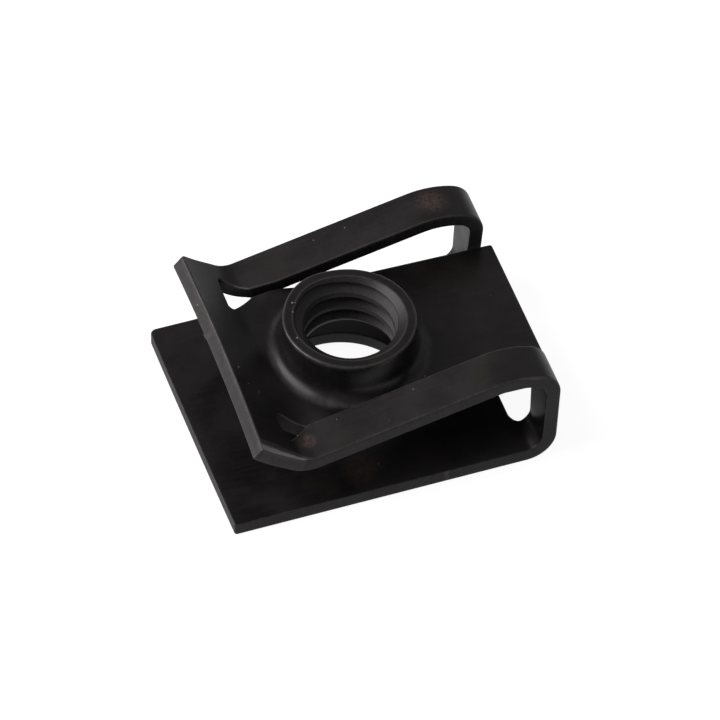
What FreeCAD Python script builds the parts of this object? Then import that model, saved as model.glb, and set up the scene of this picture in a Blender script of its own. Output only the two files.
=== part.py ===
"""Threaded clip nut, folded from one strip of spring steel, with a drawn barrel for an M6 thread.

Millimetres, +Z up. The nut rests on its lower leaf at z = 0. The origin is the centre of the
screw hole in that leaf. The strip's length runs along X, with the open mouth towards -X and the
fold towards +X, and its width runs along Y.

The strip is followed from the free end of the lower leaf, round the fold, down the sprung ramp of
the two side straps, through the valley and up the flared lip. The tongue between the straps
starts from the same lip and carries the barrel.
"""
import FreeCAD, Part
import math
import os

# Strip
strip_width = 15.0
sheet = 0.8

# Lower leaf, from the origin in the screw hole
leaf_reach = 8.7
fold_start = 8.2
screw_hole_radius = 4.1
leaf_edge_crown = 0.03
leaf_edge_skew = 0.2
rear_corner_radius = 0.4
front_corner_radius = 0.15

# Fold: inside radii, angles turned and the upright between them
lower_bend_radius = 0.9
lower_bend_angle = 87.5
upright_length = 3.35
upper_bend_radius = 0.8
upper_bend_angle = 71.5
shoulder_radius = 4.05
shoulder_angle = 33.0

# Sprung ramp, valley and flared lip
ramp_length = 10.3
valley_radius = 1.2
valley_angle = 47.5
lip_flat = 0.9
lip_curl_angle = 8.0
lip_curl_length = 1.8
lip_edge_bow = 0.27
lip_edge_skew = 0.16
lip_rear_corner_radius = 0.3

# Window between the straps
strap_width = 2.43
window_end = 8.1
window_corner_radius = 0.5
fold_strap_width = 2.15
window_taper_low = 1.8
window_taper_high = 5.0

# Tongue
tongue_clearance = 0.04
tongue_top = 4.05
tongue_fall_angle = 1.7
tongue_bend_radius = 2.8
tongue_reach = 10.5
tongue_corner_radius = 0.15
tongue_overlap = 0.6

# Three-cornered relief notch at the root of each slot, widest at the lip
notch_start = -5.0
notch_length = 1.48
notch_width = 2.4
notch_corner_radius = 0.25

# Barrel, square to the tongue
barrel_x = 0.47
barrel_height = 2.4
barrel_rim_radius = 3.66
barrel_draft_angle = 3.0
barrel_base_fillet = 0.7
barrel_base_inset = 0.1
barrel_rim_round = 0.1
thread_minor_radius = 2.5
thread_mouth_radius = 3.12
thread_mouth_depth = 0.58
thread_entry_round = 0.5

# Reach of a cutting tool past the material that it cuts
overcut = 2.0


def vec(x, y, z):
    return FreeCAD.Vector(x, y, z)


def heading(angle):
    """Unit vector in the XZ plane, at an angle in degrees from +X towards +Z."""
    return vec(math.cos(math.radians(angle)), 0, math.sin(math.radians(angle)))


class Ribbon:
    """The side view of a strip that is bent as it goes, followed along its middle line."""

    def __init__(self, start, angle):
        self.point = start
        self.angle = angle
        self.left = []
        self.right = []
        self.start = self.face_points()

    def face_points(self):
        normal = heading(self.angle + 90) * (sheet / 2)
        return self.point + normal, self.point - normal

    def straight(self, length):
        before = self.face_points()
        self.point = self.point + heading(self.angle) * length
        after = self.face_points()
        self.left.append(Part.LineSegment(before[0], after[0]).toShape())
        self.right.append(Part.LineSegment(before[1], after[1]).toShape())

    def bend(self, inside_radius, angle):
        """Turn by an angle, anticlockwise when positive, about the inside radius of the bend."""
        side = 1 if angle > 0 else -1
        middle_radius = inside_radius + sheet / 2
        centre = self.point + heading(self.angle + 90 * side) * middle_radius
        stations = []
        for share in (0, 0.5, 1):
            radial = heading(self.angle + angle * share - 90 * side)
            half = radial * (side * sheet / 2)
            middle = centre + radial * middle_radius
            stations.append((middle - half, middle + half))
        self.left.append(Part.Arc(*(s[0] for s in stations)).toShape())
        self.right.append(Part.Arc(*(s[1] for s in stations)).toShape())
        self.point = centre + heading(self.angle + angle - 90 * side) * middle_radius
        self.angle += angle

    def solid(self, width):
        """The strip, as wide as given and centred on y = 0."""
        first, last = self.start, self.face_points()
        caps = [Part.LineSegment(first[1], first[0]).toShape(), Part.LineSegment(last[0], last[1]).toShape()]
        outline = Part.Wire(Part.__sortEdges__(self.left + self.right + caps))
        slab = Part.Face(outline).extrude(vec(0, width, 0))
        slab.translate(vec(0, -width / 2, 0))
        return slab


def block(x_low, x_high, y_low, y_high, z_low, z_high, corner_radius=0.0):
    """A box with its upright corners rounded."""
    box = Part.makeBox(x_high - x_low, y_high - y_low, z_high - z_low, vec(x_low, y_low, z_low))
    if corner_radius > 0:
        upright = [e for e in box.Edges if abs(e.tangentAt(e.FirstParameter).z) > 0.9]
        box = box.makeFillet(corner_radius, upright)
    return box


def strip_steps():
    """The whole strip's ribbon, and the place on its middle line where the straight lip begins."""
    strip = Ribbon(vec(-leaf_reach, 0, sheet / 2), 0)
    strip.straight(leaf_reach + fold_start)
    strip.bend(lower_bend_radius, lower_bend_angle)
    strip.straight(upright_length)
    strip.bend(upper_bend_radius, upper_bend_angle)
    strip.bend(shoulder_radius, shoulder_angle)
    strip.straight(ramp_length)
    strip.bend(valley_radius, -valley_angle)
    lip_root = (strip.point, strip.angle)
    strip.straight(lip_flat)
    lip_curl = math.radians(lip_curl_angle)
    strip.bend(lip_curl_length / lip_curl - sheet / 2, -lip_curl_angle)
    return strip, lip_root


def trim_lip(body, strip):
    """Cut the lip's free edge to its hollow bow, longest at the front corner, and round its rear corner."""
    bow_radius = strip_width ** 2 / (8 * lip_edge_bow)
    outward = heading(strip.angle)
    normal = heading(strip.angle + 90)
    crown = strip.point - outward * (lip_edge_bow + lip_edge_skew / 2)
    skew = math.atan2(lip_edge_skew, strip_width)
    to_centre = outward * math.cos(skew) + vec(0, math.sin(skew), 0)
    centre = crown + to_centre * bow_radius
    body = body.cut(Part.makeCylinder(bow_radius, 2 * overcut, centre - normal * overcut, normal))
    rear_corner = strip.point + vec(0, strip_width / 2, 0)
    return body.makeFillet(lip_rear_corner_radius, [edge_near(body, rear_corner)])


def edge_near(body, place):
    """The edge, no longer than one and a half sheets, whose middle is nearest to a place."""
    short = [e for e in body.Edges if e.Length < 1.5 * sheet]
    return min(short, key=lambda e: (e.CenterOfMass - place).Length)


def trim_leaf(body):
    """Cut the lower leaf's free edge, slightly crowned and longest at the rear, and round its corners."""
    crown_radius = strip_width ** 2 / (8 * leaf_edge_crown)
    crown = vec(leaf_edge_skew / 2 - leaf_edge_crown - leaf_reach, 0, -sheet / 2)
    skew = math.atan2(leaf_edge_skew, strip_width)
    centre = crown + vec(math.cos(skew), math.sin(skew), 0) * crown_radius
    keep = Part.makeCylinder(crown_radius, 2 * sheet, centre)
    half = (strip_width + overcut) / 2
    end = block(-leaf_reach - overcut, 0, -half, half, -sheet / 2, 1.5 * sheet)
    body = body.cut(end.cut(keep))
    for side, radius in ((1, rear_corner_radius), (-1, front_corner_radius)):
        corner = vec(leaf_edge_skew * (1 - side) / 2 - leaf_reach, side * strip_width / 2, sheet / 2)
        body = body.makeFillet(radius, [edge_near(body, corner)])
    return body


def prism(points, direction):
    """A solid swept along a direction from a closed polygon."""
    return Part.Face(Part.makePolygon(points + [points[0]])).extrude(direction)


def window(lip_root, top):
    """The opening between the straps, wider round the lower bend, with the tongue's place in it."""
    half = strip_width / 2 - strap_width
    wide = strip_width / 2 - fold_strap_width
    tongue_half = half - tongue_clearance
    far = tongue_reach + overcut
    low = 2 * sheet
    slot_part = block(notch_start + notch_length - tongue_clearance, far, -half, half, low, top)
    bend_part = block(window_end, far, -wide, wide, -overcut, window_taper_low, window_corner_radius)
    taper_start = window_end + window_corner_radius
    taper = prism([
        vec(taper_start, -wide, window_taper_low),
        vec(taper_start, wide, window_taper_low),
        vec(taper_start, half, window_taper_high),
        vec(taper_start, -half, window_taper_high),
    ], vec(far - taper_start, 0, 0))
    root, lip_angle = lip_root
    edge = root + heading(lip_angle) * (tongue_overlap / 2)
    across = heading(lip_angle - 90)
    tongue_part = prism([
        vec(edge.x + across.x / across.z * (low - edge.z), -tongue_half, low),
        vec(far, -tongue_half, low),
        vec(far, -tongue_half, top),
        vec(edge.x + across.x / across.z * (top - edge.z), -tongue_half, top),
    ], vec(0, 2 * tongue_half, 0))
    return slot_part.fuse([bend_part, taper, tongue_part])


def notches(top):
    """The relief notch at the root of each slot, through the upper leaf only."""
    slot_centre = strip_width / 2 - strap_width - tongue_clearance / 2
    low = 2 * sheet
    cutters = []
    for side in (-1, 1):
        middle = side * slot_centre
        cutter = prism([
            vec(notch_start, middle - notch_width / 2, low),
            vec(notch_start + notch_length, middle - tongue_clearance / 2, low),
            vec(notch_start + notch_length, middle + tongue_clearance / 2, low),
            vec(notch_start, middle + notch_width / 2, low),
        ], vec(0, 0, top - low))
        upright = [e for e in cutter.Edges if abs(e.tangentAt(e.FirstParameter).z) > 0.9]
        upright.sort(key=lambda e: e.CenterOfMass.x)
        cutters.append(cutter.makeFillet(notch_corner_radius, upright[:2]))
    return cutters


def tongue_ribbon(lip_root):
    """The tongue, which leaves the lip along its own line and turns to lie nearly level."""
    root, lip_angle = lip_root
    down_angle = lip_angle - 180
    level_angle = -tongue_fall_angle
    down = heading(down_angle)
    level = heading(level_angle)
    on_axis = vec(barrel_x, 0, tongue_top) - heading(level_angle + 90) * (sheet / 2)
    gap = on_axis - root
    crossing = (gap.x * level.z - gap.z * level.x) / (down.x * level.z - down.z * level.x)
    turn = level_angle - down_angle
    tangent = (tongue_bend_radius + sheet / 2) * math.tan(math.radians(turn / 2))
    ribbon = Ribbon(root - down * tongue_overlap, down_angle)
    ribbon.straight(tongue_overlap + crossing - tangent)
    ribbon.bend(tongue_bend_radius, turn)
    ribbon.straight((tongue_reach - ribbon.point.x) / level.x)
    return ribbon


def barrel():
    """The drawn barrel in its own frame: the tongue's top is z = 0 and the thread runs along z."""
    draft = math.radians(barrel_draft_angle)
    rim = barrel_height
    fillet_top = barrel_base_fillet * (1 - math.sin(draft))
    wall_foot = barrel_rim_radius + (rim - fillet_top) * math.tan(draft)
    base_radius = wall_foot + barrel_base_fillet * math.cos(draft)
    fillet_share = math.radians(90 + barrel_draft_angle) / 2
    fillet_middle = vec(base_radius - barrel_base_fillet * math.sin(fillet_share), 0,
                        barrel_base_fillet * (1 - math.cos(fillet_share)))
    inset = -barrel_base_inset
    entry = thread_entry_round
    entry_shift = entry * (1 - math.sqrt(0.5))
    under = -sheet
    bore = thread_minor_radius
    points = {
        "foot": vec(wall_foot, 0, under),
        "step": vec(wall_foot, 0, inset),
        "ring_low": vec(base_radius, 0, inset),
        "ring": vec(base_radius, 0, 0),
        "wall_low": vec(wall_foot, 0, fillet_top),
        "wall_high": vec(barrel_rim_radius, 0, rim - barrel_rim_round),
        "rim_out": vec(barrel_rim_radius - barrel_rim_round, 0, rim),
        "rim_in": vec(thread_mouth_radius, 0, rim),
        "mouth": vec(bore, 0, rim - thread_mouth_depth),
        "bore_low": vec(bore, 0, under + entry),
        "entry": vec(bore + entry, 0, under),
    }
    rim_shift = barrel_rim_round * (1 - math.sqrt(0.5))
    rim_middle = vec(barrel_rim_radius - rim_shift, 0, rim - rim_shift)
    entry_middle = vec(bore + entry_shift, 0, under + entry_shift)

    def line(a, b):
        return Part.LineSegment(points[a], points[b]).toShape()

    def arc(a, middle, b):
        return Part.Arc(points[a], middle, points[b]).toShape()

    outline = Part.Wire([
        line("foot", "step"),
        line("step", "ring_low"),
        line("ring_low", "ring"),
        arc("ring", fillet_middle, "wall_low"),
        line("wall_low", "wall_high"),
        arc("wall_high", rim_middle, "rim_out"),
        line("rim_out", "rim_in"),
        line("rim_in", "mouth"),
        line("mouth", "bore_low"),
        arc("bore_low", entry_middle, "entry"),
        line("entry", "foot"),
    ])
    turned = Part.Face(outline).revolve(vec(0, 0, 0), vec(0, 0, 1), 360)
    return turned, (wall_foot + bore + entry) / 2


def tongue_with_barrel(lip_root, cutters):
    """The tongue with its notches cut and its barrel drawn up."""
    ribbon = tongue_ribbon(lip_root)
    width = strip_width - 2 * (strap_width + tongue_clearance)
    tongue = ribbon.solid(width)
    for side in (-1, 1):
        corner = [e for e in tongue.Edges
                  if abs(e.CenterOfMass.y - side * width / 2) < sheet / 8
                  and abs(e.CenterOfMass.x - ribbon.point.x) < sheet / 8 and e.Length < 1.5 * sheet]
        tongue = tongue.makeFillet(tongue_corner_radius, corner)
    for cutter in cutters:
        tongue = tongue.cut(cutter)
    collar, hole_radius = barrel()
    place = FreeCAD.Placement(vec(barrel_x, 0, tongue_top), FreeCAD.Rotation(vec(0, 1, 0), tongue_fall_angle))
    collar.Placement = place
    clearing = Part.makeCylinder(hole_radius, 3 * sheet, vec(0, 0, -2 * sheet))
    clearing.Placement = place
    return tongue.cut(clearing).fuse(collar)


def clip_nut():
    strip, lip_root = strip_steps()
    body = trim_lip(strip.solid(strip_width), strip)
    body = trim_leaf(body)
    top = body.BoundBox.ZMax + overcut
    cutters = notches(top)
    body = body.cut(window(lip_root, top))
    for cutter in cutters:
        body = body.cut(cutter)
    body = body.cut(Part.makeCylinder(screw_hole_radius, 3 * sheet, vec(0, 0, -sheet)))
    body = body.fuse(tongue_with_barrel(lip_root, cutters))
    return body.removeSplitter()


def report(name, shape):
    box = shape.BoundBox
    print(name, "valid", shape.isValid(), "solids", len(shape.Solids), "faces", len(shape.Faces),
          "volume %.3f" % shape.Volume, "x %.2f..%.2f" % (box.XMin, box.XMax),
          "y %.2f..%.2f" % (box.YMin, box.YMax), "z %.2f..%.2f" % (box.ZMin, box.ZMax))


os.makedirs("parts", exist_ok=True)
nut = clip_nut()
report("clip_nut", nut)
nut.exportStep("parts/clip_nut.step")
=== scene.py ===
import math
import bmesh
import bpy
from mathutils import Matrix, Vector
from mathutils.geometry import delaunay_2d_cdt


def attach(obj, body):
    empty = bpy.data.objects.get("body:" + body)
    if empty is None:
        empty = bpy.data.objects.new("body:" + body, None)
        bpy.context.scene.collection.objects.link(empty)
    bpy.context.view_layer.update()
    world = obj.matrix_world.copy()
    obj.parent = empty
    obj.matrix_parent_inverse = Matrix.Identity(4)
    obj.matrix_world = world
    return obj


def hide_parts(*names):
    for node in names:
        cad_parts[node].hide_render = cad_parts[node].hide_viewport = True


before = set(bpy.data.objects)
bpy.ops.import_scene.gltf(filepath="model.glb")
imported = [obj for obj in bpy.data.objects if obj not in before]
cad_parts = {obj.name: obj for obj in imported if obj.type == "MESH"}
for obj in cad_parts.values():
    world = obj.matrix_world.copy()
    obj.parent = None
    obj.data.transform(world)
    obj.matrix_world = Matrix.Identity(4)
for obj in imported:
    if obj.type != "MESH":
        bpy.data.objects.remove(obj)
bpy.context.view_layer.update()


# Blank: one strip of 0.8 mm spring steel, cut and pierced flat before it is folded.
# Its outlines are laid out in millimetres, as length along the strip from the leaf's free edge
# and distance across it, so that every bend below only has to be told how long it is.
SHEET = 0.8
HALF_WIDTH = 7.5
LEAF_REACH = 8.7
HOLE_TO_FOLD = 8.2


class BentStrip:
    """The middle line of a strip seen from the side, as runs of one length and one turn each."""

    def __init__(self, x, z, angle, runs):
        self.runs = []
        start = 0.0
        for length, turn in runs:
            self.runs.append((start, x, z, angle, turn / length))
            x, z, angle = self.place(start + length, 0.0)
            start += length
        self.length = start

    def place(self, along, left):
        """Where a length along the strip comes to lie, moved left of its line, and its angle there."""
        start, x, z, angle, curl = [run for run in self.runs if run[0] <= along or run[0] == 0.0][-1]
        gone = along - start
        if curl:
            turned = angle + curl * gone
            x += (math.sin(turned) - math.sin(angle)) / curl
            z -= (math.cos(turned) - math.cos(angle)) / curl
            angle = turned
        else:
            x += math.cos(angle) * gone
            z += math.sin(angle) * gone
        return x - math.sin(angle) * left, z + math.cos(angle) * left, angle


def straight(length):
    return (length, 0.0)


def bend(middle_radius, degrees):
    turn = math.radians(degrees)
    return (middle_radius * abs(turn), turn)


LEAF = straight(LEAF_REACH + HOLE_TO_FOLD)
LOWER_BEND = bend(middle_radius=1.3, degrees=87.5)
UPRIGHT = straight(3.35)
UPPER_BEND = bend(middle_radius=1.2, degrees=71.5)
SHOULDER = bend(middle_radius=4.45, degrees=33.0)
RAMP = straight(10.3)
VALLEY = bend(middle_radius=1.6, degrees=-47.5)
LIP_FLAT = straight(0.9)
LIP_CURL = (1.8, -math.radians(8.0))
STRIP_RUNS = [LEAF, LOWER_BEND, UPRIGHT, UPPER_BEND, SHOULDER, RAMP, VALLEY, LIP_FLAT, LIP_CURL]
strip = BentStrip(-LEAF_REACH, SHEET / 2, 0.0, STRIP_RUNS)
LIP_ROOT = strip.length - LIP_CURL[0] - LIP_FLAT[0]
UPRIGHT_LOW = LEAF[0] + LOWER_BEND[0]
UPRIGHT_HIGH = UPRIGHT_LOW + UPRIGHT[0]

# The tongue leaves the lip's root along the lip's own line, then turns nearly level.
# It lies between the straps, cut free of them by slots.
BARREL_X = 0.47
TONGUE_TOP = 4.05
TONGUE_FALL = math.radians(1.7)
TONGUE_BEND_RADIUS = 3.2
TONGUE_REACH = 10.5
TONGUE_HALF = 5.03
STRAP_INSIDE = 5.07
FOLD_INSIDE = 5.35
SLOT_MIDDLE = (TONGUE_HALF + STRAP_INSIDE) / 2
root_x, root_z, lip_angle = strip.place(LIP_ROOT, 0.0)
slope = lip_angle - math.pi
axis_x = BARREL_X - math.sin(TONGUE_FALL) * SHEET / 2
axis_z = TONGUE_TOP - math.cos(TONGUE_FALL) * SHEET / 2
fall_x, fall_z = math.cos(TONGUE_FALL), -math.sin(TONGUE_FALL)
gap_x, gap_z = axis_x - root_x, axis_z - root_z
crossing = (gap_x * fall_z - gap_z * fall_x) / (math.cos(slope) * fall_z - math.sin(slope) * fall_x)
tongue_turn = -TONGUE_FALL - slope
tangent = TONGUE_BEND_RADIUS * math.tan(tongue_turn / 2)
tongue_straight = straight(crossing - tangent)
tongue_bend = (TONGUE_BEND_RADIUS * tongue_turn, tongue_turn)
bend_end = tongue_straight[0] + tongue_bend[0]
level_x = BentStrip(root_x, root_z, slope, [tongue_straight, tongue_bend]).place(bend_end, 0.0)[0]
tongue_level = straight((TONGUE_REACH - level_x) / fall_x)
tongue = BentStrip(root_x, root_z, slope, [tongue_straight, tongue_bend, tongue_level])
TONGUE_END = LIP_ROOT - tongue.length
BARREL_CENTRE = LIP_ROOT - tongue_straight[0] - tongue_bend[0] - (axis_x - level_x) / fall_x

# Drawing the barrel pulled the tongue's edges up on its lip side, by a share of how far out they are.
DRAWN_SPOT = 2.65
DRAWN_SPREAD = 1.3
DRAWN_FROM = 3.9
DRAWN_SHARE = 0.3
BEYOND_TONGUE = 0.3


def on_tongue(along, across):
    return TONGUE_END - BEYOND_TONGUE < along < LIP_ROOT and abs(across) < SLOT_MIDDLE


def folded(along, across, outward):
    """Where a place on the flat blank comes to lie, outward from the middle of the sheet."""
    if on_tongue(along, across):
        nearness = math.exp(-((along - BARREL_CENTRE - DRAWN_SPOT) / DRAWN_SPREAD) ** 2)
        drawn = nearness * max(0.0, abs(across) - DRAWN_FROM)
        x, z, _ = tongue.place(LIP_ROOT - along, outward + DRAWN_SHARE * drawn)
    else:
        x, z, _ = strip.place(along, -outward)
    return Vector((x, across, z))


POINT_SPACING = 0.16
ARC_SPACING = 0.06


def stretch(points):
    """Points along a broken line, close enough together for the bends."""
    dense = []
    for a, b in zip(points, points[1:]):
        count = max(1, round(math.dist(a, b) / POINT_SPACING))
        dense += [(a[0] + (b[0] - a[0]) * i / count, a[1] + (b[1] - a[1]) * i / count)
                  for i in range(count)]
    return dense


def rounded(corners):
    """A closed outline from (along, across, corner radius), each corner turned on its radius."""
    outline = []
    count = len(corners)
    for i, (along, across, radius) in enumerate(corners):
        if radius <= 0:
            outline.append((along, across))
            continue
        corner = Vector((along, across))
        before = Vector(corners[i - 1][:2]) - corner
        after = Vector(corners[(i + 1) % count][:2]) - corner
        half = before.angle(after) / 2
        reach = radius / math.tan(half)
        inward = (before.normalized() + after.normalized()).normalized()
        centre = corner + inward * radius / math.sin(half)
        first = corner + before.normalized() * reach - centre
        last = corner + after.normalized() * reach - centre
        swing = last.angle_signed(first)
        pieces = max(4, round(abs(swing) * radius / ARC_SPACING))
        for k in range(pieces + 1):
            turn = swing * k / pieces
            outline.append((centre.x + first.x * math.cos(turn) - first.y * math.sin(turn),
                            centre.y + first.x * math.sin(turn) + first.y * math.cos(turn)))
    return stretch(outline + outline[:1])


LIP_TRIM = 0.35
LIP_BOW = 0.27
LIP_SKEW = 0.08
LEAF_TRIM = 0.07
LEAF_CROWN = 0.03
LEAF_SKEW = 0.1


def lip_edge(across):
    """The lip's hollow free edge, longest at the front corner."""
    share = across / HALF_WIDTH
    hollow = LIP_TRIM - LIP_BOW * share ** 2 + LIP_SKEW * share
    return strip.length - hollow


def leaf_edge(across):
    """The leaf's free edge, a little crowned and cut askew."""
    share = across / HALF_WIDTH
    return LEAF_TRIM + LEAF_CROWN * share ** 2 - LEAF_SKEW * share


def ring(radius, centre, count):
    """A circle on the blank that starts at the barrel's fold side and turns as the thread does."""
    return [(centre - radius * math.cos(2 * math.pi * k / count), radius * math.sin(2 * math.pi * k / count))
            for k in range(count)]


def area(outline):
    return sum(a[0] * b[1] - b[0] * a[1] for a, b in zip(outline, outline[1:] + outline[:1])) / 2


# The strip's outline: its four corners are rounded, the lip's front one the least.
LEAF_REAR_ROUND = 0.4
LEAF_FRONT_ROUND = 0.15
LIP_FRONT_ROUND = 0.12
LIP_REAR_ROUND = 0.32
LEAF_END_BAND = 0.4
CORNER_CLEAR = 0.55
lip_line = [(lip_edge(y / 10), y / 10, 0.0) for y in range(-70, 71, 2)]
outside = rounded([(leaf_edge(HALF_WIDTH), HALF_WIDTH, LEAF_REAR_ROUND),
                   (leaf_edge(-HALF_WIDTH), -HALF_WIDTH, LEAF_FRONT_ROUND),
                   (lip_edge(-HALF_WIDTH), -HALF_WIDTH, LIP_FRONT_ROUND),
                   *lip_line,
                   (lip_edge(HALF_WIDTH), HALF_WIDTH, LIP_REAR_ROUND)])
outside = [(leaf_edge(y), y) if s < LEAF_END_BAND and abs(y) < HALF_WIDTH - CORNER_CLEAR else (s, y)
           for s, y in outside]

# The window takes in the fold's middle, the slots beside the tongue and a three-cornered notch at
# each slot's root. The rear notch is the wider one, and the rear strap narrows to its tip.
WINDOW_START = LEAF_REACH + 8.1
WINDOW_CORNER = 0.75
TONGUE_CORNER = 0.15
UPRIGHT_RUN_IN = 0.15
NOTCH_WIDE = LIP_ROOT + 0.31
NOTCH_TIP = LIP_ROOT - 1.6
NOTCH_RUN_IN = 1.6
NOTCH_ROUND = 0.25
NOTCH_TONGUE_REACH = 1.2
REAR_NOTCH_REACH = 1.5
FRONT_NOTCH_REACH = 1.1
REAR_STRAP_NARROWING = 0.2


def half_window(notch_side, tip_side):
    """One half of the window, from the leaf up to the notch and back along the tongue to its end."""
    return [
        (WINDOW_START, FOLD_INSIDE, WINDOW_CORNER),
        (UPRIGHT_LOW + UPRIGHT_RUN_IN, FOLD_INSIDE, 0.0),
        (UPRIGHT_HIGH, STRAP_INSIDE, 0.0),
        (NOTCH_TIP - NOTCH_RUN_IN, STRAP_INSIDE, 0.0),
        (NOTCH_TIP, tip_side, 0.0),
        (NOTCH_WIDE, notch_side, NOTCH_ROUND),
        (NOTCH_WIDE, SLOT_MIDDLE - NOTCH_TONGUE_REACH, NOTCH_ROUND),
        (NOTCH_TIP, TONGUE_HALF, 0.0),
        (TONGUE_END, TONGUE_HALF, TONGUE_CORNER),
    ]


rear_half = half_window(SLOT_MIDDLE + REAR_NOTCH_REACH, STRAP_INSIDE + REAR_STRAP_NARROWING)
front_half = half_window(SLOT_MIDDLE + FRONT_NOTCH_REACH, STRAP_INSIDE)
window = rounded(rear_half + [(s, -y, r) for s, y, r in reversed(front_half)])
SCREW_HOLE_RADIUS = 4.1
SCREW_HOLE_POINTS = 160
screw_hole = ring(SCREW_HOLE_RADIUS, LEAF_REACH, SCREW_HOLE_POINTS)


def towards_metal(outline, solid_inside):
    """The outline turned so that metal is on its left, and the way into the metal at each point."""
    if (area(outline) > 0) != solid_inside:
        outline = outline[::-1]
    count = len(outline)
    ways = []
    for i in range(count):
        back = Vector(outline[i]) - Vector(outline[i - 1])
        on = Vector(outline[(i + 1) % count]) - Vector(outline[i])
        back_left = Vector((-back.y, back.x)).normalized()
        on_left = Vector((-on.y, on.x)).normalized()
        way = (back_left + on_left).normalized()
        ways.append(way / max(0.5, way.dot(on_left)))
    return outline, ways


cut_outlines = [towards_metal(outside, True), towards_metal(window, False), towards_metal(screw_hole, False)]


def inside(point, outline):
    hit = False
    for a, b in zip(outline, outline[1:] + outline[:1]):
        if (a[1] > point[1]) != (b[1] > point[1]):
            if point[0] < (b[0] - a[0]) * (point[1] - a[1]) / (b[1] - a[1]) + a[0]:
                hit = not hit
    return hit


def shifted(outline, ways, reach):
    return [(p[0] + w.x * reach, p[1] + w.y * reach) for p, w in zip(outline, ways)]


ROW_TURN = math.radians(5.5)
ROW_LENGTH = 1.6
TONGUE_BEND_ROWS = 8
TONGUE_LEVEL_ROWS = 9
TONGUE_ROW_LENGTH = 1.4


def strip_rows():
    """Lengths along the blank at which the folded sheet needs a row of points."""
    rows = []
    start = 0.0
    for length, turn in STRIP_RUNS:
        count = max(1, math.ceil(abs(turn) / ROW_TURN)) if turn else max(1, round(length / ROW_LENGTH))
        rows += [start + length * k / count for k in range(count)]
        start += length
    return rows


def tongue_rows():
    """The same for the tongue, over its bend and then along its level part."""
    start = LIP_ROOT - tongue_straight[0] - tongue_bend[0]
    over_bend = [start + tongue_bend[0] * k / TONGUE_BEND_ROWS for k in range(TONGUE_BEND_ROWS + 1)]
    return over_bend + [start - TONGUE_ROW_LENGTH * k for k in range(1, TONGUE_LEVEL_ROWS + 1)]


# Each flat face gets a row of support points just inside its rims, and a plain grid clear of them.
RIM_SUPPORT = 0.09
RIM_CLEAR = 0.17
BARREL_SUPPORT = 0.06
BARREL_CLEAR = 0.14
GRID_STEP = 0.31
GRID_HALF_COUNT = 24
SMALLEST_FACE = 2e-6


def face_triangles(round_reach, hole_ring):
    """Points and triangles that fill the blank between its cut outlines and the barrel's ring."""
    rims = [shifted(outline, ways, round_reach) for outline, ways in cut_outlines]
    support = [shifted(outline, ways, round_reach + RIM_SUPPORT) for outline, ways in cut_outlines]
    clear = [shifted(outline, ways, round_reach + RIM_CLEAR) for outline, ways in cut_outlines]
    barrel_outline, barrel_ways = towards_metal(hole_ring, False)
    rims.append(barrel_outline)
    support.append(shifted(barrel_outline, barrel_ways, BARREL_SUPPORT))
    clear.append(shifted(barrel_outline, barrel_ways, BARREL_CLEAR))
    points = []
    edges = []
    for outline in rims + support:
        first = len(points)
        points += outline
        edges += [(first + k, first + (k + 1) % len(outline)) for k in range(len(outline))]
    rows = [(s, False) for s in strip_rows()] + [(s, True) for s in tongue_rows()]
    for s, for_tongue in rows:
        for k in range(-GRID_HALF_COUNT, GRID_HALF_COUNT + 1):
            place = (s, k * GRID_STEP)
            if on_tongue(*place) != for_tongue and s < LIP_ROOT:
                continue
            if inside(place, clear[0]) and not any(inside(place, hole) for hole in clear[1:]):
                points.append(place)
    flat = [Vector(p) for p in points]
    verts, _, faces, origins, _, _ = delaunay_2d_cdt(flat, edges, [], 0, 1e-6)
    kept = []
    for face in faces:
        middle = sum((verts[i] for i in face), Vector((0.0, 0.0))) / 3
        if area([verts[i] for i in face]) < SMALLEST_FACE:
            continue
        if inside(middle, rims[0]) and not any(inside(middle, hole) for hole in rims[1:]):
            kept.append(list(face))
    found = {given: k for k, origin in enumerate(origins) for given in origin}
    loops = []
    first = 0
    for outline in rims:
        loops.append([found[first + k] for k in range(len(outline))])
        first += len(outline)
    return verts, kept, loops


# Barrel: drawn up out of the tongue's own metal, with a hollow fillet at its foot and a flat rim,
# then tapped M6 by 1.0. The thread's wall is grown by Geometry Nodes on the drilled bore.
BARREL_HEIGHT = 2.4
RIM_RADIUS = 3.66
DRAFT = math.radians(3.0)
FOOT_RADIUS = 4.7
FOOT_FILLET = 0.95
RIM_ROUND = 0.1
MOUTH_RADIUS = 3.09
MOUTH_DEPTH = 0.5
MOUTH_ROUND = 0.03
MINOR_RADIUS = 2.5
MAJOR_RADIUS = 3.0
ENTRY_RADIUS = 3.0
PITCH = 1.0
PITCH_LINE_DEPTH = 0.3248
CREST_ROUND = 0.05
THREAD_PHASE = 0.7
RING_COUNT = 192
THREAD_ROWS = 121


def math_node(tree, operation, *values):
    node = tree.nodes.new("ShaderNodeMath")
    node.operation = operation
    for k, value in enumerate(values):
        if isinstance(value, (int, float)):
            node.inputs[k].default_value = value
        else:
            tree.links.new(value, node.inputs[k])
    return node.outputs[0]


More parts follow.
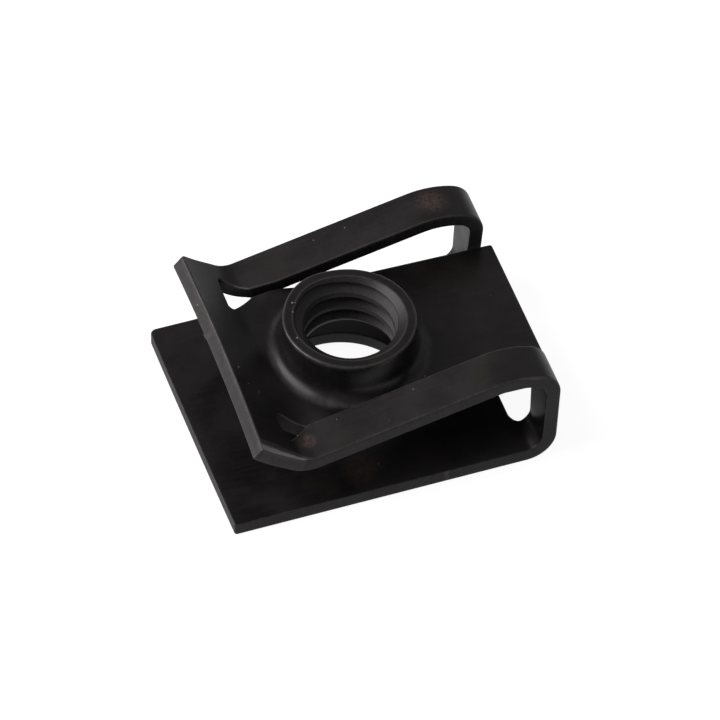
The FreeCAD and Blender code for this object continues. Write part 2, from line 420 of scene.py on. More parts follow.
bore_tree = bpy.data.node_groups.new("tapped bore", "GeometryNodeTree")
bore_tree.interface.new_socket("Geometry", in_out="OUTPUT", socket_type="NodeSocketGeometry")
bore_sizes = {
    "Minor Radius": MINOR_RADIUS,
    "Major Radius": MAJOR_RADIUS,
    "Pitch": PITCH,
    "Phase": THREAD_PHASE,
    "Top": BARREL_HEIGHT - MOUTH_ROUND,
    "Bottom": -SHEET,
    "Mouth Radius": MOUTH_RADIUS - MOUTH_ROUND * (MOUTH_RADIUS - MINOR_RADIUS) / MOUTH_DEPTH,
    "Mouth Slope": (MOUTH_RADIUS - MINOR_RADIUS) / MOUTH_DEPTH,
    "Entry Round": ENTRY_RADIUS - MINOR_RADIUS,
}
for name in bore_sizes:
    bore_tree.interface.new_socket(name, in_out="INPUT", socket_type="NodeSocketFloat")
bore_tree.interface.new_socket("Finish", in_out="INPUT", socket_type="NodeSocketMaterial")
given = bore_tree.nodes.new("NodeGroupInput").outputs


def bore_math(operation, *values):
    return math_node(bore_tree, operation, *values)


# The bore starts as a flat grid: across it is the angle round the bore, and up it is the height.
flat_bore = bore_tree.nodes.new("GeometryNodeMeshGrid")
flat_bore.inputs["Size X"].default_value = 2 * math.pi
flat_bore.inputs["Vertices X"].default_value = RING_COUNT + 1
flat_bore.inputs["Vertices Y"].default_value = THREAD_ROWS
bore_tree.links.new(bore_math("SUBTRACT", given["Top"], given["Bottom"]), flat_bore.inputs["Size Y"])
position = bore_tree.nodes.new("GeometryNodeInputPosition")
parts = bore_tree.nodes.new("ShaderNodeSeparateXYZ")
bore_tree.links.new(position.outputs[0], parts.inputs[0])
angle = bore_math("ADD", parts.outputs["X"], math.pi)
centre_height = bore_math("MULTIPLY", bore_math("ADD", given["Top"], given["Bottom"]), 0.5)
level = bore_math("ADD", parts.outputs["Y"], centre_height)

# Groove: flanks at 60 degrees to each other, which rise with the angle and are cut off at the crests.
turns = bore_math("DIVIDE", angle, 2 * math.pi)
along_thread = bore_math("SUBTRACT", bore_math("DIVIDE", level, given["Pitch"]), turns)
along_thread = bore_math("FRACT", bore_math("ADD", along_thread, given["Phase"]))
from_root = bore_math("ABSOLUTE", bore_math("SUBTRACT", along_thread, 0.5))
flank = bore_math("MULTIPLY", bore_math("SUBTRACT", 0.25, from_root), math.sqrt(3.0))
flank = bore_math("MULTIPLY", flank, given["Pitch"])
pitch_depth = bore_math("MULTIPLY", given["Pitch"], PITCH_LINE_DEPTH)
pitch_radius = bore_math("SUBTRACT", given["Major Radius"], pitch_depth)
groove = bore_math("ADD", pitch_radius, flank)
groove = bore_math("SMOOTH_MIN", groove, given["Major Radius"], CREST_ROUND)
groove = bore_math("SMOOTH_MAX", groove, given["Minor Radius"], CREST_ROUND)

# Countersunk mouth above, and a rounded entry below.
below_top = bore_math("SUBTRACT", given["Top"], level)
mouth = bore_math("SUBTRACT", given["Mouth Radius"], bore_math("MULTIPLY", below_top, given["Mouth Slope"]))
rise = bore_math("SUBTRACT", bore_math("ADD", given["Bottom"], given["Entry Round"]), level)
rise = bore_math("MAXIMUM", rise, 0.0)
room = bore_math("SUBTRACT", bore_math("POWER", given["Entry Round"], 2.0), bore_math("POWER", rise, 2.0))
room = bore_math("SQRT", bore_math("MAXIMUM", room, 0.0))
entry = bore_math("SUBTRACT", bore_math("ADD", given["Minor Radius"], given["Entry Round"]), room)
radius = bore_math("MAXIMUM", bore_math("MAXIMUM", groove, mouth), entry)

turned = bore_tree.nodes.new("ShaderNodeCombineXYZ")
bore_tree.links.new(bore_math("MULTIPLY", radius, bore_math("COSINE", angle)), turned.inputs["X"])
bore_tree.links.new(bore_math("MULTIPLY", radius, bore_math("SINE", angle)), turned.inputs["Y"])
bore_tree.links.new(level, turned.inputs["Z"])
placed = bore_tree.nodes.new("GeometryNodeSetPosition")
bore_tree.links.new(flat_bore.outputs["Mesh"], placed.inputs["Geometry"])
bore_tree.links.new(turned.outputs[0], placed.inputs["Position"])
whole = bore_tree.nodes.new("GeometryNodeRealizeInstances")
bore_tree.links.new(placed.outputs[0], whole.inputs[0])
coated = bore_tree.nodes.new("GeometryNodeSetMaterial")
bore_tree.links.new(whole.outputs[0], coated.inputs["Geometry"])
bore_tree.links.new(given["Finish"], coated.inputs["Material"])
result = bore_tree.nodes.new("NodeGroupOutput")
bore_tree.links.new(coated.outputs[0], result.inputs[0])

black_steel = bpy.data.materials.new("black coated spring steel")
bore_maker = bpy.data.objects.new("tapped bore", bpy.data.meshes.new("tapped bore"))
bpy.context.scene.collection.objects.link(bore_maker)
growth = bore_maker.modifiers.new("tapped bore", "NODES")
growth.node_group = bore_tree
for item in bore_tree.interface.items_tree:
    if item.in_out == "INPUT":
        growth[item.identifier] = black_steel if item.name == "Finish" else bore_sizes[item.name]
bpy.context.view_layer.update()
bore_mesh = bpy.data.meshes.new_from_object(bore_maker.evaluated_get(bpy.context.evaluated_depsgraph_get()))
bpy.data.objects.remove(bore_maker)


def barrel_place(radius, turn, height):
    """A place on the barrel, which stands square to the tongue."""
    x, y = radius * math.cos(turn), radius * math.sin(turn)
    return Vector((BARREL_X + x * math.cos(TONGUE_FALL) + height * math.sin(TONGUE_FALL), y,
                   TONGUE_TOP - x * math.sin(TONGUE_FALL) + height * math.cos(TONGUE_FALL)))


RIM_RINGS = (3.5, 3.36, 3.22, 3.135)
MOUTH_EDGE = (3.095, BARREL_HEIGHT - 0.008)
FILLET_RINGS = 10
WALL_RINGS = 6
ROUND_RINGS = 5


def barrel_rings():
    """Radius, height and share of the foot's fillet for each ring from the tongue to the thread's mouth."""
    fillet_top = FOOT_FILLET * (1 - math.sin(DRAFT))
    foot = RIM_RADIUS + (BARREL_HEIGHT - fillet_top) * math.tan(DRAFT)
    rings = []
    for k in range(1, FILLET_RINGS + 1):
        turn = math.radians(90 - math.degrees(DRAFT)) * k / FILLET_RINGS
        rings.append((FOOT_RADIUS - (FOOT_RADIUS - foot) * math.sin(turn) / math.cos(DRAFT),
                      FOOT_FILLET * (1 - math.cos(turn)), 1 - k / FILLET_RINGS))
    wall_top = BARREL_HEIGHT - RIM_ROUND
    for k in range(1, WALL_RINGS + 1):
        height = fillet_top + (wall_top - fillet_top) * k / WALL_RINGS
        rings.append((foot - (foot - RIM_RADIUS) * k / WALL_RINGS, height, 0.0))
    for k in range(1, ROUND_RINGS + 1):
        turn = math.pi / 2 * k / ROUND_RINGS
        rings.append((RIM_RADIUS - RIM_ROUND * (1 - math.cos(turn)),
                      wall_top + RIM_ROUND * math.sin(turn), 0.0))
    rings += [(radius, BARREL_HEIGHT, 0.0) for radius in RIM_RINGS]
    rings.append((*MOUTH_EDGE, 0.0))
    return rings


SWELL = 0.14
SWELL_TURN = math.radians(114.0)
SWELL_SPREAD = 0.42


def rim_unevenness(turn, height):
    """The rim's slight rise and fall from the draw, none of it below the wall's middle."""
    share = max(0.0, min(1.0, (height - 1.2) / 1.0))
    return share * (0.010 * math.sin(2 * turn + 0.7) + 0.006 * math.sin(5 * turn + 2.0) - 0.018)


def rim_swell(turn, height):
    """How far the barrel's top stands out towards the rear strap, where it was drawn unevenly."""
    share = max(0.0, min(1.0, (height - 1.0) / 1.2))
    return share * SWELL * math.exp(-((turn - SWELL_TURN) / SWELL_SPREAD) ** 2)


# The folded clip nut: the faces of the blank, its sheared walls with rolled and burred edges,
# and the barrel with its thread, joined into one closed skin of one piece of steel.
verts = []
faces = []
cut_share = []
wear_and_highlight_share = []
thread_share = []
blank_place = []


def add_point(place, flat, depth, cut=0.0, worn=0.0, thread=0.0):
    """A point of the skin, its place on the blank in millimetres, and how it was left by the tools."""
    verts.append(place)
    blank_place.append((flat[0], flat[1], depth))
    cut_share.append(cut)
    wear_and_highlight_share.append(worn)
    thread_share.append(thread)
    return len(verts) - 1


def join(above, below):
    """One band of faces between two closed rows of points."""
    count = len(above)
    for k in range(count):
        after = (k + 1) % count
        faces.append([above[k], below[k], below[after], above[after]])


# The outer face is worn bright in a wedge along the front edge, from the valley to the lip's corner.
WEDGE_START = 1.4
WEDGE_LENGTH = 3.4
WEDGE_WEAR = 2.3
# The faces' rims are lightened too, partly as wear and partly as painted edge highlight.
RIM_WEAR_AND_HIGHLIGHT = 0.3


def corner_wedge(place):
    """1 at the worn front edge of the lip, falling to 0 on a line that widens towards its end."""
    from_side = place[1] + HALF_WIDTH
    past_root = max(0.0, min(1.0, (place[0] - LIP_ROOT + WEDGE_START) / WEDGE_LENGTH))
    return max(0.0, 1.0 - from_side / (0.15 + 1.0 * past_root)) * min(1.0, 3 * past_root)


def add_face_skin(outward, round_reach, hole_ring, upward):
    """One face of the sheet, with the rows of points along its rims."""
    points, triangles, loops = face_triangles(round_reach, hole_ring)
    first = len(verts)
    for place in points:
        worn = WEDGE_WEAR * corner_wedge(place) if upward else 0.0
        add_point(folded(place[0], place[1], outward), place, outward, 0.0, worn)
    for triangle in triangles:
        order = [first + i for i in triangle]
        faces.append(order if upward else order[::-1])
    for loop in loops[:-1]:
        for i in loop:
            wear_and_highlight_share[first + i] = max(RIM_WEAR_AND_HIGHLIGHT, wear_and_highlight_share[first + i])
    return [[first + i for i in loop] for loop in loops]


TOP_ROUND = 0.085
UNDER_ROUND = 0.055
barrel_foot = ring(FOOT_RADIUS, BARREL_CENTRE, RING_COUNT)
outer_loops = add_face_skin(SHEET / 2, TOP_ROUND, barrel_foot, True)
under_loops = add_face_skin(-SHEET / 2, UNDER_ROUND, ring(ENTRY_RADIUS, BARREL_CENTRE, RING_COUNT), False)

# A sheared wall is rolled over at the punch's side, straight through the sheet, and sharper below.
TOP_ROWS = 4
UNDER_ROWS = 3
WALL_SHARES = (0.0, 0.3, 0.6, 1.0)
BREAK_STEP = 0.006
# The rounded edges are lightened in colour, partly by wear and partly as a painted highlight that makes them
# stand out as lit lines.
EDGE_WEAR_AND_HIGHLIGHT = 0.5
WALL_END_WEAR_AND_HIGHLIGHT = 0.15


def wall_rows():
    """Reach into the metal, height, share of sheared metal, and wear with painted edge highlight, from the
    upper edge down.
    """
    rows = []
    for k in range(1, TOP_ROWS):
        turn = math.pi / 2 * k / TOP_ROWS
        rows.append((TOP_ROUND * (1 - math.sin(turn)), SHEET / 2 - TOP_ROUND * (1 - math.cos(turn)),
                     k / TOP_ROWS, EDGE_WEAR_AND_HIGHLIGHT))
    for share in WALL_SHARES:
        height = (SHEET / 2 - TOP_ROUND) * (1 - share) - (SHEET / 2 - UNDER_ROUND) * share
        reach = 0.0 if share < 0.5 else BREAK_STEP
        rows.append((reach, height, 1.0, WALL_END_WEAR_AND_HIGHLIGHT if share in (0.0, 1.0) else 0.0))
    for k in range(1, UNDER_ROWS):
        turn = math.pi / 2 * (1 - k / UNDER_ROWS)
        rows.append((UNDER_ROUND * (1 - math.sin(turn)), -SHEET / 2 + UNDER_ROUND * (1 - math.cos(turn)),
                     0.5, EDGE_WEAR_AND_HIGHLIGHT))
    return rows


LIP_END = LIP_ROOT + 1.0
LIP_SIDE = LIP_ROOT - 0.6
FRONT_SIDE = 0.1 - HALF_WIDTH
BURR = 0.13
BURR_PLACE = 1.9
BURR_SPREAD = 0.15
# The lightened spot at the fold's front edge is partly wear and partly a painted highlight.
FOLD_RUB_AND_HIGHLIGHT_PLACE = UPRIGHT_HIGH + 1.9
NICK_PLACE = 12.27


def lip_burr(place, height):
    """A small burr low on the lip's end, left by a chip in the punch."""
    if place[0] <= LIP_END:
        return 0.0
    low = max(0.0, min(1.0, 0.3 - 2 * height))
    return BURR * math.exp(-((place[1] - BURR_PLACE) / BURR_SPREAD) ** 2) * low


def outside_rub_and_highlight(place, height):
    """Extra lightening of the strip's edge: wear and painted highlight on the lip's end and front side and
    at the fold's front, and wear at one nick.
    """
    on_front = place[1] < FRONT_SIDE
    rub_and_highlight = 0.25 if place[0] > LIP_END else 0.0
    if on_front and place[0] > LIP_SIDE:
        rub_and_highlight = 0.38
    if on_front and height > 0.3:
        rub_and_highlight = max(rub_and_highlight, 0.6 * math.exp(-((place[0] - FOLD_RUB_AND_HIGHLIGHT_PLACE) / 0.6) ** 2))
    if on_front:
        rub_and_highlight = max(rub_and_highlight, 0.8 * math.exp(-((place[0] - NICK_PLACE) / 0.13) ** 2))
    return rub_and_highlight


for number, (outline, ways) in enumerate(cut_outlines):
    is_outside = number == 0
    above = outer_loops[number]
    for reach, height, cut, worn in wall_rows():
        here = []
        for place, way in zip(outline, ways):
            burr = lip_burr(place, height) if is_outside else 0.0
            rub_and_highlight = outside_rub_and_highlight(place, height) if is_outside else 0.0
            spot = (place[0] + way.x * reach + burr, place[1] + way.y * reach)
            here.append(add_point(folded(spot[0], spot[1], height), spot, height, cut, min(1.0, worn + rub_and_highlight)))
        join(above, here)
        above = here
    join(above, under_loops[number])

# The barrel grows from its ring on the tongue, and follows the tongue's drawn edges at its foot.
# The band round the foot's fillet and the rim's two edges are lightened in colour: partly wear, partly a
# painted highlight where the light catches them.
FOOT_RUB_AND_HIGHLIGHT = 0.45
FOOT_BAND_FROM = 4.05
FOOT_BAND_WIDTH = 0.65
RIM_RUB_AND_HIGHLIGHT = 0.6
RIM_EDGE_DEPTH = 0.13
RIM_EDGE_FROM = 3.5
MOUTH_EDGE_BAND = (3.09, 3.14)


def barrel_wear_and_highlight(radius, height):
    """Lightened along the rim's two edges and in a band round the foot, partly as wear and partly as painted
    highlight.
    """
    if radius > FOOT_BAND_FROM:
        return FOOT_RUB_AND_HIGHLIGHT * math.sin(math.pi * (radius - FOOT_BAND_FROM) / FOOT_BAND_WIDTH)
    at_rim_edge = height > BARREL_HEIGHT - RIM_EDGE_DEPTH and radius > RIM_EDGE_FROM
    at_mouth = MOUTH_EDGE_BAND[0] < radius < MOUTH_EDGE_BAND[1]
    return RIM_RUB_AND_HIGHLIGHT if at_rim_edge or at_mouth else 0.0


def uneven_place(radius, turn, height):
    swollen = radius + rim_swell(turn, height)
    return barrel_place(swollen, turn, height + rim_unevenness(turn, height))


foot_outline, _ = towards_metal(barrel_foot, False)
above = outer_loops[-1]
turns_round = [math.atan2(y, BARREL_CENTRE - s) for s, y in foot_outline]
lift = [verts[i] - barrel_place(FOOT_RADIUS, turn, 0.0) for i, turn in zip(above, turns_round)]
for radius, height, hold in barrel_rings():
    here = []
    for k, turn in enumerate(turns_round):
        spot = uneven_place(radius, turn, height) + lift[k] * hold
        flat = (BARREL_CENTRE - radius * math.cos(turn), radius * math.sin(turn))
        here.append(add_point(spot, flat, height, 0.0, barrel_wear_and_highlight(radius, height)))
    join(above, here)
    above = here

# The tapped bore hangs from the mouth. Its countersink is less bright than the thread below it.
CREST_DEPTH = 0.08
CREST_WEAR = 0.15
TAPPED_BELOW = 0.35
TAPPED_FADE = 0.3
COUNTERSINK_SHARE = 0.4


def ring_step(turn):
    return round(math.degrees(turn) * RING_COUNT / 360) % RING_COUNT


mouth_points = {}
first = len(verts)
for vertex in bore_mesh.vertices:
    radius = math.hypot(vertex.co.x, vertex.co.y)
    turn = math.atan2(vertex.co.y, vertex.co.x)
    height = vertex.co.z
    crest = max(0.0, 1.0 - (radius - MINOR_RADIUS) / CREST_DEPTH)
    tapped = max(COUNTERSINK_SHARE, min(1.0, (BARREL_HEIGHT - TAPPED_BELOW - height) / TAPPED_FADE))
    flat = (BARREL_CENTRE - vertex.co.x, vertex.co.y)
    point = add_point(uneven_place(radius, turn, height), flat, height, 0.0, CREST_WEAR * crest, tapped)
    if abs(height - bore_sizes["Top"]) < 1e-4:
        mouth_points[ring_step(turn)] = point
faces += [[first + i for i in polygon.vertices] for polygon in bore_mesh.polygons]
join(above, [mouth_points[ring_step(turn)] for turn in turns_round])

nut_mesh = bpy.data.meshes.new("clip nut")
nut_mesh.from_pydata([v * 0.001 for v in verts], [], faces)
# The worn attribute holds wear and painted edge highlight together.
for name, shares in (("cut", cut_share), ("worn", wear_and_highlight_share), ("thread", thread_share)):
    nut_mesh.attributes.new(name, "FLOAT", "POINT").data.foreach_set("value", shares)
blank_map = nut_mesh.attributes.new("blank", "FLOAT_VECTOR", "POINT")
blank_map.data.foreach_set("vector", [value for place in blank_place for value in place])
builder = bmesh.new()
builder.from_mesh(nut_mesh)
bmesh.ops.remove_doubles(builder, verts=builder.verts, dist=1e-6)
bmesh.ops.delete(builder, geom=[v for v in builder.verts if not v.link_faces], context="VERTS")
bmesh.ops.recalc_face_normals(builder, faces=builder.faces)
open_edges = [e for e in builder.edges if len(e.link_faces) != 2]
triangle_count = sum(len(f.verts) - 2 for f in builder.faces)
print("clip nut: open or crossed edges", len(open_edges), "triangles", triangle_count)
builder.to_mesh(nut_mesh)
builder.free()
nut_mesh.shade_smooth()
nut_mesh.materials.append(black_steel)
clip_nut = bpy.data.objects.new("clip_nut_steel", nut_mesh)
bpy.context.scene.collection.objects.link(clip_nut)
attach(clip_nut, "root")
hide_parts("clip_nut")


# Finish: a thin black coating over pressed spring steel, satin where the rolls left the sheet smooth.
# It is thinner and greyer along the sheared edges and in the tapped thread, rusted brown in three
# small places, and dusted with a few pale specks. Its edges, rim and a band round the barrel's foot
# are lightened in colour, partly by wear and partly as painted highlight.
finish = bpy.data.node_groups.new("worn black coating", "ShaderNodeTree")
for name in ("Color", "Roughness", "Metallic", "Height"):
    kind = "NodeSocketColor" if name == "Color" else "NodeSocketFloat"
    finish.interface.new_socket(name, in_out="OUTPUT", socket_type=kind)
finish_scales = {"Patch Scale": 0.42, "Grain Scale": 9.0, "Streak Scale": 6.0, "Dust Scale": 0.9}
for name, value in finish_scales.items():
    finish.interface.new_socket(name, in_out="INPUT", socket_type="NodeSocketFloat").default_value = value
scales = finish.nodes.new("NodeGroupInput").outputs
outputs = finish.nodes.new("NodeGroupOutput").inputs


def attribute(name, socket):
    node = finish.nodes.new("ShaderNodeAttribute")
    node.attribute_name = name
    return node.outputs[socket]


def finish_math(operation, *values):
    return math_node(finish, operation, *values)


def vector_node(operation, place, other, result="Vector"):
    node = finish.nodes.new("ShaderNodeVectorMath")
    node.operation = operation
    finish.links.new(place, node.inputs[0])
    node.inputs[1].default_value = other
    return node.outputs[result]


def noise(place, scale, detail, roughness):
    node = finish.nodes.new("ShaderNodeTexNoise")
    node.inputs["Detail"].default_value = detail
    node.inputs["Roughness"].default_value = roughness
    finish.links.new(place, node.inputs["Vector"])
    finish.links.new(scale, node.inputs["Scale"])
    return node.outputs["Fac"]


def ramp(value, low, high, to_low=0.0, to_high=1.0):
    node = finish.nodes.new("ShaderNodeMapRange")
    node.interpolation_type = "SMOOTHSTEP"
    finish.links.new(value, node.inputs["Value"])
    for name, number in (("From Min", low), ("From Max", high), ("To Min", to_low), ("To Max", to_high)):
        node.inputs[name].default_value = number
    return node.outputs["Result"]


def blend(share, low, high):
    """A colour between two, each given as numbers or taken from another node."""
    node = finish.nodes.new("ShaderNodeMix")
    node.data_type = "RGBA"
    finish.links.new(share, node.inputs["Factor"])
    for socket, value in ((node.inputs[6], low), (node.inputs[7], high)):
        if isinstance(value, tuple):
            socket.default_value = (*value, 1.0)
        else:
            finish.links.new(value, socket)
    return node.outputs[2]


def near(place, centre, core, reach):
    """1 within the core of a place on the blank, 0 beyond its reach."""
    return ramp(vector_node("DISTANCE", place, centre, "Value"), core, reach, 1.0, 0.0)


on_blank = attribute("blank", "Vector")
cut_amount = attribute("cut", "Fac")
# The worn attribute is partly wear and partly painted highlight.
wear_and_highlight_amount = attribute("worn", "Fac")
thread_amount = attribute("thread", "Fac")
object_place = finish.nodes.new("ShaderNodeTexCoord").outputs["Object"]
in_mm = vector_node("MULTIPLY", object_place, (1000.0, 1000.0, 1000.0))
patches = noise(in_mm, scales["Patch Scale"], 4.0, 0.5)
grain = noise(in_mm, scales["Grain Scale"], 3.0, 0.65)
rolled = noise(vector_node("MULTIPLY", on_blank, (0.07, 1.0, 0.3)), scales["Streak Scale"], 3.0, 0.6)
sheared = noise(vector_node("MULTIPLY", on_blank, (1.0, 1.0, 0.1)), scales["Streak Scale"], 2.0, 0.5)
scuffs = noise(vector_node("MULTIPLY", in_mm, (0.7, 0.25, 0.4)), scales["Streak Scale"], 3.0, 0.6)
warm = noise(on_blank, scales["Patch Scale"], 3.0, 0.55)

# The coating itself, cloudy, with pale rolling lines, fine grain and some warmer clouds.
DEEP_BLACK = (0.0042, 0.0037, 0.0040)
PLAIN_BLACK = (0.0080, 0.0069, 0.0074)
ROLLED_GREY = (0.0125, 0.0110, 0.0117)
GRAIN_GREY = (0.0160, 0.0142, 0.0150)
WARM_BLACK = (0.0150, 0.0108, 0.0086)
coat = blend(ramp(patches, 0.36, 0.66), DEEP_BLACK, PLAIN_BLACK)
coat = blend(finish_math("MULTIPLY", ramp(rolled, 0.46, 0.72), 0.45), coat, ROLLED_GREY)
coat = blend(finish_math("MULTIPLY", ramp(grain, 0.45, 0.8), 0.35), coat, GRAIN_GREY)
coat = blend(finish_math("MULTIPLY", ramp(warm, 0.48, 0.68), 0.4), coat, WARM_BLACK)

# Sheared walls with upright lines, and the tapped thread, where the coating took thinly.
SHEAR_DARK = (0.0080, 0.0070, 0.0073)
SHEAR_PALE = (0.0190, 0.0170, 0.0172)
THREAD_DARK = (0.0180, 0.0164, 0.0164)
THREAD_PALE = (0.0340, 0.0315, 0.0308)
shear_tone = blend(ramp(sheared, 0.3, 0.75), SHEAR_DARK, SHEAR_PALE)
coat = blend(finish_math("MULTIPLY", cut_amount, 0.8), coat, shear_tone)
thread_tone = blend(ramp(grain, 0.35, 0.7), THREAD_DARK, THREAD_PALE)
coat = blend(thread_amount, coat, thread_tone)

# Rust: one spot on the rear strap's shoulder, one on the front strap by the valley, and a faint
# one on the leaf. The places are on the blank.
RUST_BROWN = (0.0640, 0.0400, 0.0330)
SHOULDER_RUST = (25.2, 6.45, 0.4)
VALLEY_RUST = (36.75, -6.2, 0.4)
LEAF_RUST = (8.0, -5.8, -0.4)
rust_noise = noise(in_mm, scales["Streak Scale"], 4.0, 0.7)
on_shoulder = near(on_blank, SHOULDER_RUST, 0.2, 1.15)
by_valley = near(on_blank, VALLEY_RUST, 0.2, 0.75)
on_leaf = finish_math("MULTIPLY", near(on_blank, LEAF_RUST, 0.2, 1.5), 0.45)
rust = finish_math("MAXIMUM", finish_math("MAXIMUM", on_shoulder, by_valley), on_leaf)
rust = finish_math("MULTIPLY", rust, ramp(rust_noise, 0.30, 0.62))
rust = finish_math("MULTIPLY", rust, 0.8)
coat = blend(rust, coat, RUST_BROWN)

# Wear and painted highlight: first the coating thins to grey, which also lightens the edges, the rim and the
# barrel's foot as painted highlight, and where it is rubbed most the steel itself is bright.
THIN_COAT_AND_HIGHLIGHT_GREY = (0.1150, 0.1080, 0.1060)
BRIGHT_STEEL = (0.3200, 0.3080, 0.3000)
wear_noise = finish_math("ADD", finish_math("MULTIPLY", scuffs, 0.4), finish_math("MULTIPLY", patches, 0.2))
wear = ramp(finish_math("ADD", finish_math("MULTIPLY", wear_and_highlight_amount, 0.7), wear_noise), 0.38, 1.05)
rubbed = ramp(wear_and_highlight_amount, 1.0, 1.6)
wear_and_highlight_tone = blend(rubbed, THIN_COAT_AND_HIGHLIGHT_GREY, BRIGHT_STEEL)
coat = blend(finish_math("MULTIPLY", wear, 0.75), coat, wear_and_highlight_tone)

# Dust: scattered specks, and four that lie on the barrel's rim and by the lip's root.
DUST_GREY = (0.3300, 0.3150, 0.3000)
SPECKS = ((34.92, 1.96, 2.4), (35.12, 1.33, 2.4), (35.50, -0.55, 2.4), (39.62, -0.93, 0.4))
scattered = finish.nodes.new("ShaderNodeTexVoronoi")
scattered.inputs["Randomness"].default_value = 1.0
finish.links.new(in_mm, scattered.inputs["Vector"])
finish.links.new(scales["Dust Scale"], scattered.inputs["Scale"])
dust = ramp(scattered.outputs["Distance"], 0.018, 0.045, 1.0, 0.0)
for speck in SPECKS:
    dust = finish_math("MAXIMUM", dust, near(on_blank, speck, 0.03, 0.07))
dust = finish_math("MULTIPLY", dust, 0.7)
finish.links.new(blend(dust, coat, DUST_GREY), outputs["Color"])

satin = ramp(patches, 0.3, 0.7, 0.30, 0.40)
satin = finish_math("ADD", satin, ramp(grain, 0.3, 0.7, -0.02, 0.03))
satin = finish_math("ADD", satin, finish_math("MULTIPLY", cut_amount, 0.18))
satin = finish_math("ADD", satin, finish_math("MULTIPLY", thread_amount, 0.16))
satin = finish_math("SUBTRACT", satin, finish_math("MULTIPLY", wear, 0.12))
satin = finish_math("ADD", satin, finish_math("MULTIPLY", rust, 0.10))
finish.links.new(satin, outputs["Roughness"])
metal_share = finish_math("SUBTRACT", 0.6, finish_math("MULTIPLY", rubbed, 0.5))
bare = finish_math("MULTIPLY", metal_share, wear)
bare = finish_math("MAXIMUM", bare, finish_math("MULTIPLY", thread_amount, 0.15))
finish.links.new(bare, outputs["Metallic"])

relief = finish_math("MULTIPLY", grain, 0.15)
relief = finish_math("ADD", relief, finish_math("MULTIPLY", rolled, 0.25))
relief = finish_math("ADD", relief, finish_math("MULTIPLY", patches, 1.0))
shear_lines = finish_math("MULTIPLY", finish_math("MULTIPLY", sheared, cut_amount), 0.7)
relief = finish_math("ADD", relief, shear_lines)
finish.links.new(relief, outputs["Height"])

black_steel.use_nodes = True
nodes = black_steel.node_tree.nodes
links = black_steel.node_tree.links
principled = nodes["Principled BSDF"]
principled.inputs["Specular IOR Level"].default_value = 0.34
principled.inputs["Specular Tint"].default_value = (1.0, 0.93, 0.95, 1.0)
surface = nodes.new("ShaderNodeGroup")
surface.node_tree = finish
links.new(surface.outputs["Color"], principled.inputs["Base Color"])
links.new(surface.outputs["Roughness"], principled.inputs["Roughness"])
links.new(surface.outputs["Metallic"], principled.inputs["Metallic"])
bump = nodes.new("ShaderNodeBump")
bump.inputs["Strength"].default_value = 0.35
bump.inputs["Distance"].default_value = 0.00002
links.new(surface.outputs["Height"], bump.inputs["Height"])
links.new(bump.outputs["Normal"], principled.inputs["Normal"])


# Stage: a white table top in an even, white room, with one broad lamp above it on the mouth's side.
# The table is seen as white, and the steel mirrors it as the shaded paper that it is close by.
TABLE_HALF = 0.6
PAPER_GREY = 0.21
SEEN_TABLE = 0.92
MIRRORED_TABLE = 0.56
ROOM_LEVEL = 0.29
corners = [(x * TABLE_HALF, y * TABLE_HALF, 0.0) for x, y in ((-1, -1), (1, -1), (1, 1), (-1, 1))]
floor_mesh = bpy.data.meshes.new("table top")
floor_mesh.from_pydata(corners, [], [(0, 1, 2, 3)])
floor = bpy.data.objects.new("table top", floor_mesh)
bpy.context.scene.collection.objects.link(floor)
white = bpy.data.materials.new("white table top")
white.use_nodes = True
paper = white.node_tree.nodes["Principled BSDF"]
paper.inputs["Base Color"].default_value = (PAPER_GREY, PAPER_GREY, PAPER_GREY, 1.0)
paper.inputs["Roughness"].default_value = 1.0
paper.inputs["Specular IOR Level"].default_value = 0.0
paper.inputs["Emission Color"].default_value = (1.0, 1.0, 1.0, 1.0)


def seen_directly(tree, rays):
    return math_node(tree, "MAXIMUM", rays["Is Camera Ray"], rays["Is Transmission Ray"])


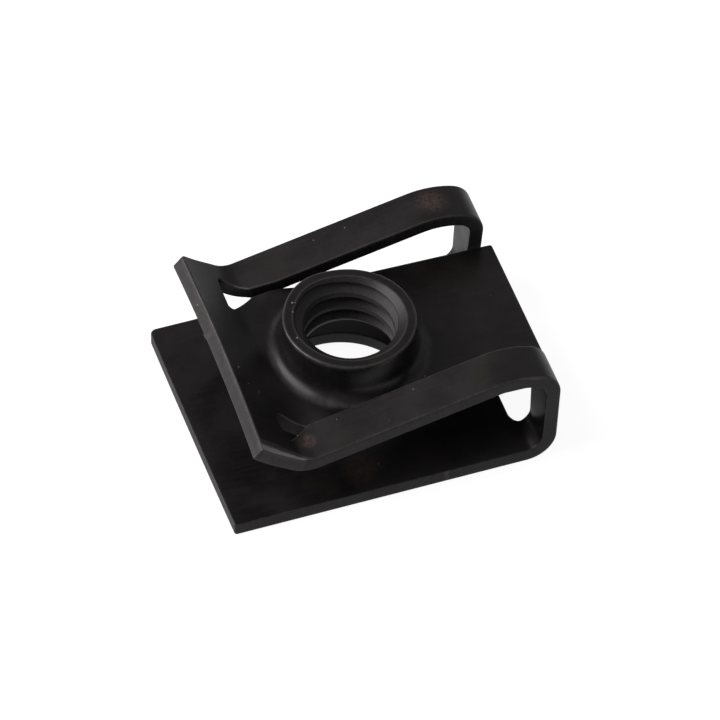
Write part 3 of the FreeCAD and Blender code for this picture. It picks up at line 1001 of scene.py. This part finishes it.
rays = white.node_tree.nodes.new("ShaderNodeLightPath").outputs
direct = math_node(white.node_tree, "MULTIPLY", seen_directly(white.node_tree, rays), SEEN_TABLE)
mirrored = math_node(white.node_tree, "MULTIPLY", rays["Is Glossy Ray"], MIRRORED_TABLE)
lifted = math_node(white.node_tree, "MAXIMUM", direct, mirrored)
white.node_tree.links.new(lifted, paper.inputs["Emission Strength"])
floor_mesh.materials.append(white)

room = bpy.data.worlds.new("white room")
bpy.context.scene.world = room
room.use_nodes = True
backdrop = room.node_tree.nodes["Background"]
rays = room.node_tree.nodes.new("ShaderNodeLightPath").outputs
direct = math_node(room.node_tree, "MULTIPLY", seen_directly(room.node_tree, rays), 1.0 - ROOM_LEVEL)
level = math_node(room.node_tree, "ADD", direct, ROOM_LEVEL)
room.node_tree.links.new(level, backdrop.inputs["Strength"])
backdrop.inputs["Color"].default_value = (1.0, 1.0, 1.0, 1.0)

LAMP_SIDE = 0.36
lamp_light = bpy.data.lights.new("broad lamp", "AREA")
lamp_light.shape = "RECTANGLE"
lamp_light.size = LAMP_SIDE
lamp_light.size_y = LAMP_SIDE
lamp_light.energy = 2.05
lamp = bpy.data.objects.new("broad lamp", lamp_light)
lamp.location = (-0.29, 0.11, 0.24)
lamp.rotation_euler = (-lamp.location).to_track_quat("-Z", "Y").to_euler()
bpy.context.scene.collection.objects.link(lamp)

# The camera looks down on the mouth's side with a long lens, from about 0.3 m.
CAMERA_TURN = math.radians(-18.5711)
CAMERA_RISE = math.radians(48.3387)
CAMERA_DISTANCE = 0.31583
LOOKED_AT = Vector((0.0011278, 0.0, 0.0027841))
camera_data = bpy.data.cameras.new("camera")
camera_data.lens = 288.64
camera_data.sensor_width = 36.0
camera_data.clip_start = 0.01
camera = bpy.data.objects.new("camera", camera_data)
back = Vector((math.sin(CAMERA_TURN) * math.cos(CAMERA_RISE),
               -math.cos(CAMERA_TURN) * math.cos(CAMERA_RISE), math.sin(CAMERA_RISE)))
right = Vector((math.cos(CAMERA_TURN), math.sin(CAMERA_TURN), 0.0))
up = back.cross(right)
facing = Matrix((right, up, back)).transposed().to_4x4()
camera.matrix_world = Matrix.Translation(LOOKED_AT + back * CAMERA_DISTANCE) @ facing
bpy.context.scene.collection.objects.link(camera)
bpy.context.scene.camera = camera
bpy.context.scene.view_settings.view_transform = "Standard"
